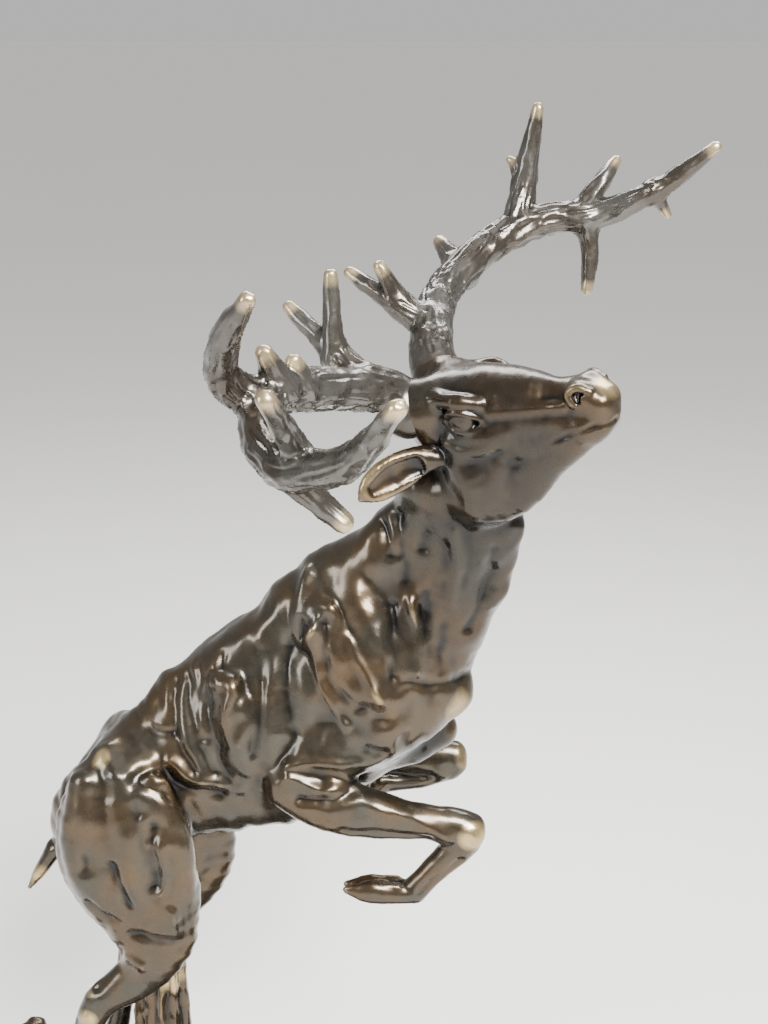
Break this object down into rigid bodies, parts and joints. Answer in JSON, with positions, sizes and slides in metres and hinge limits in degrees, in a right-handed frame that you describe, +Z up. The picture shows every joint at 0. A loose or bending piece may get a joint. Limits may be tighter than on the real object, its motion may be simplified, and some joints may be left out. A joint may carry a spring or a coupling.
{
  "type": "bronze statuette",
  "caption": "Bronze statuette of a leaping stag with spreading antlers, its hind hooves on a bronze rock that is bolted to a black marble plinth lined with felt.",
  "frame": {"origin": "The centre of the felt face under the plinth, which rests on the table.", "axes": "+X is the way the stag leaps, +Y is the stag's left side, +Z is up and is the statuette's longest extent."},
  "size_m": [0.2482, 0.1803, 0.3763],
  "materials": {
    "bronze": "satin",
    "antler_bronze": "satin",
    "marble": "polished",
    "felt": "matte",
    "steel": "satin"
  },
  "bodies": {
    "root": {"felt_sheet": "felt", "marble_plinth": "marble", "base_studs": "steel", "base_washers": "steel", "base_nuts": "steel", "rock_base": "bronze", "tree_stump": "bronze", "stump_pin": "steel", "torso": "bronze", "core_plugs": "bronze", "neck": "bronze", "head": "bronze", "right_antler": "antler_bronze", "left_antler": "antler_bronze", "antler_pins": "steel", "right_ear": "bronze", "left_ear": "bronze", "tail": "bronze", "right_foreleg": "bronze", "left_foreleg": "bronze", "right_hind_leg": "bronze", "left_hind_leg": "bronze", "hoof_pins": "steel"}
  },
  "joints": []
}
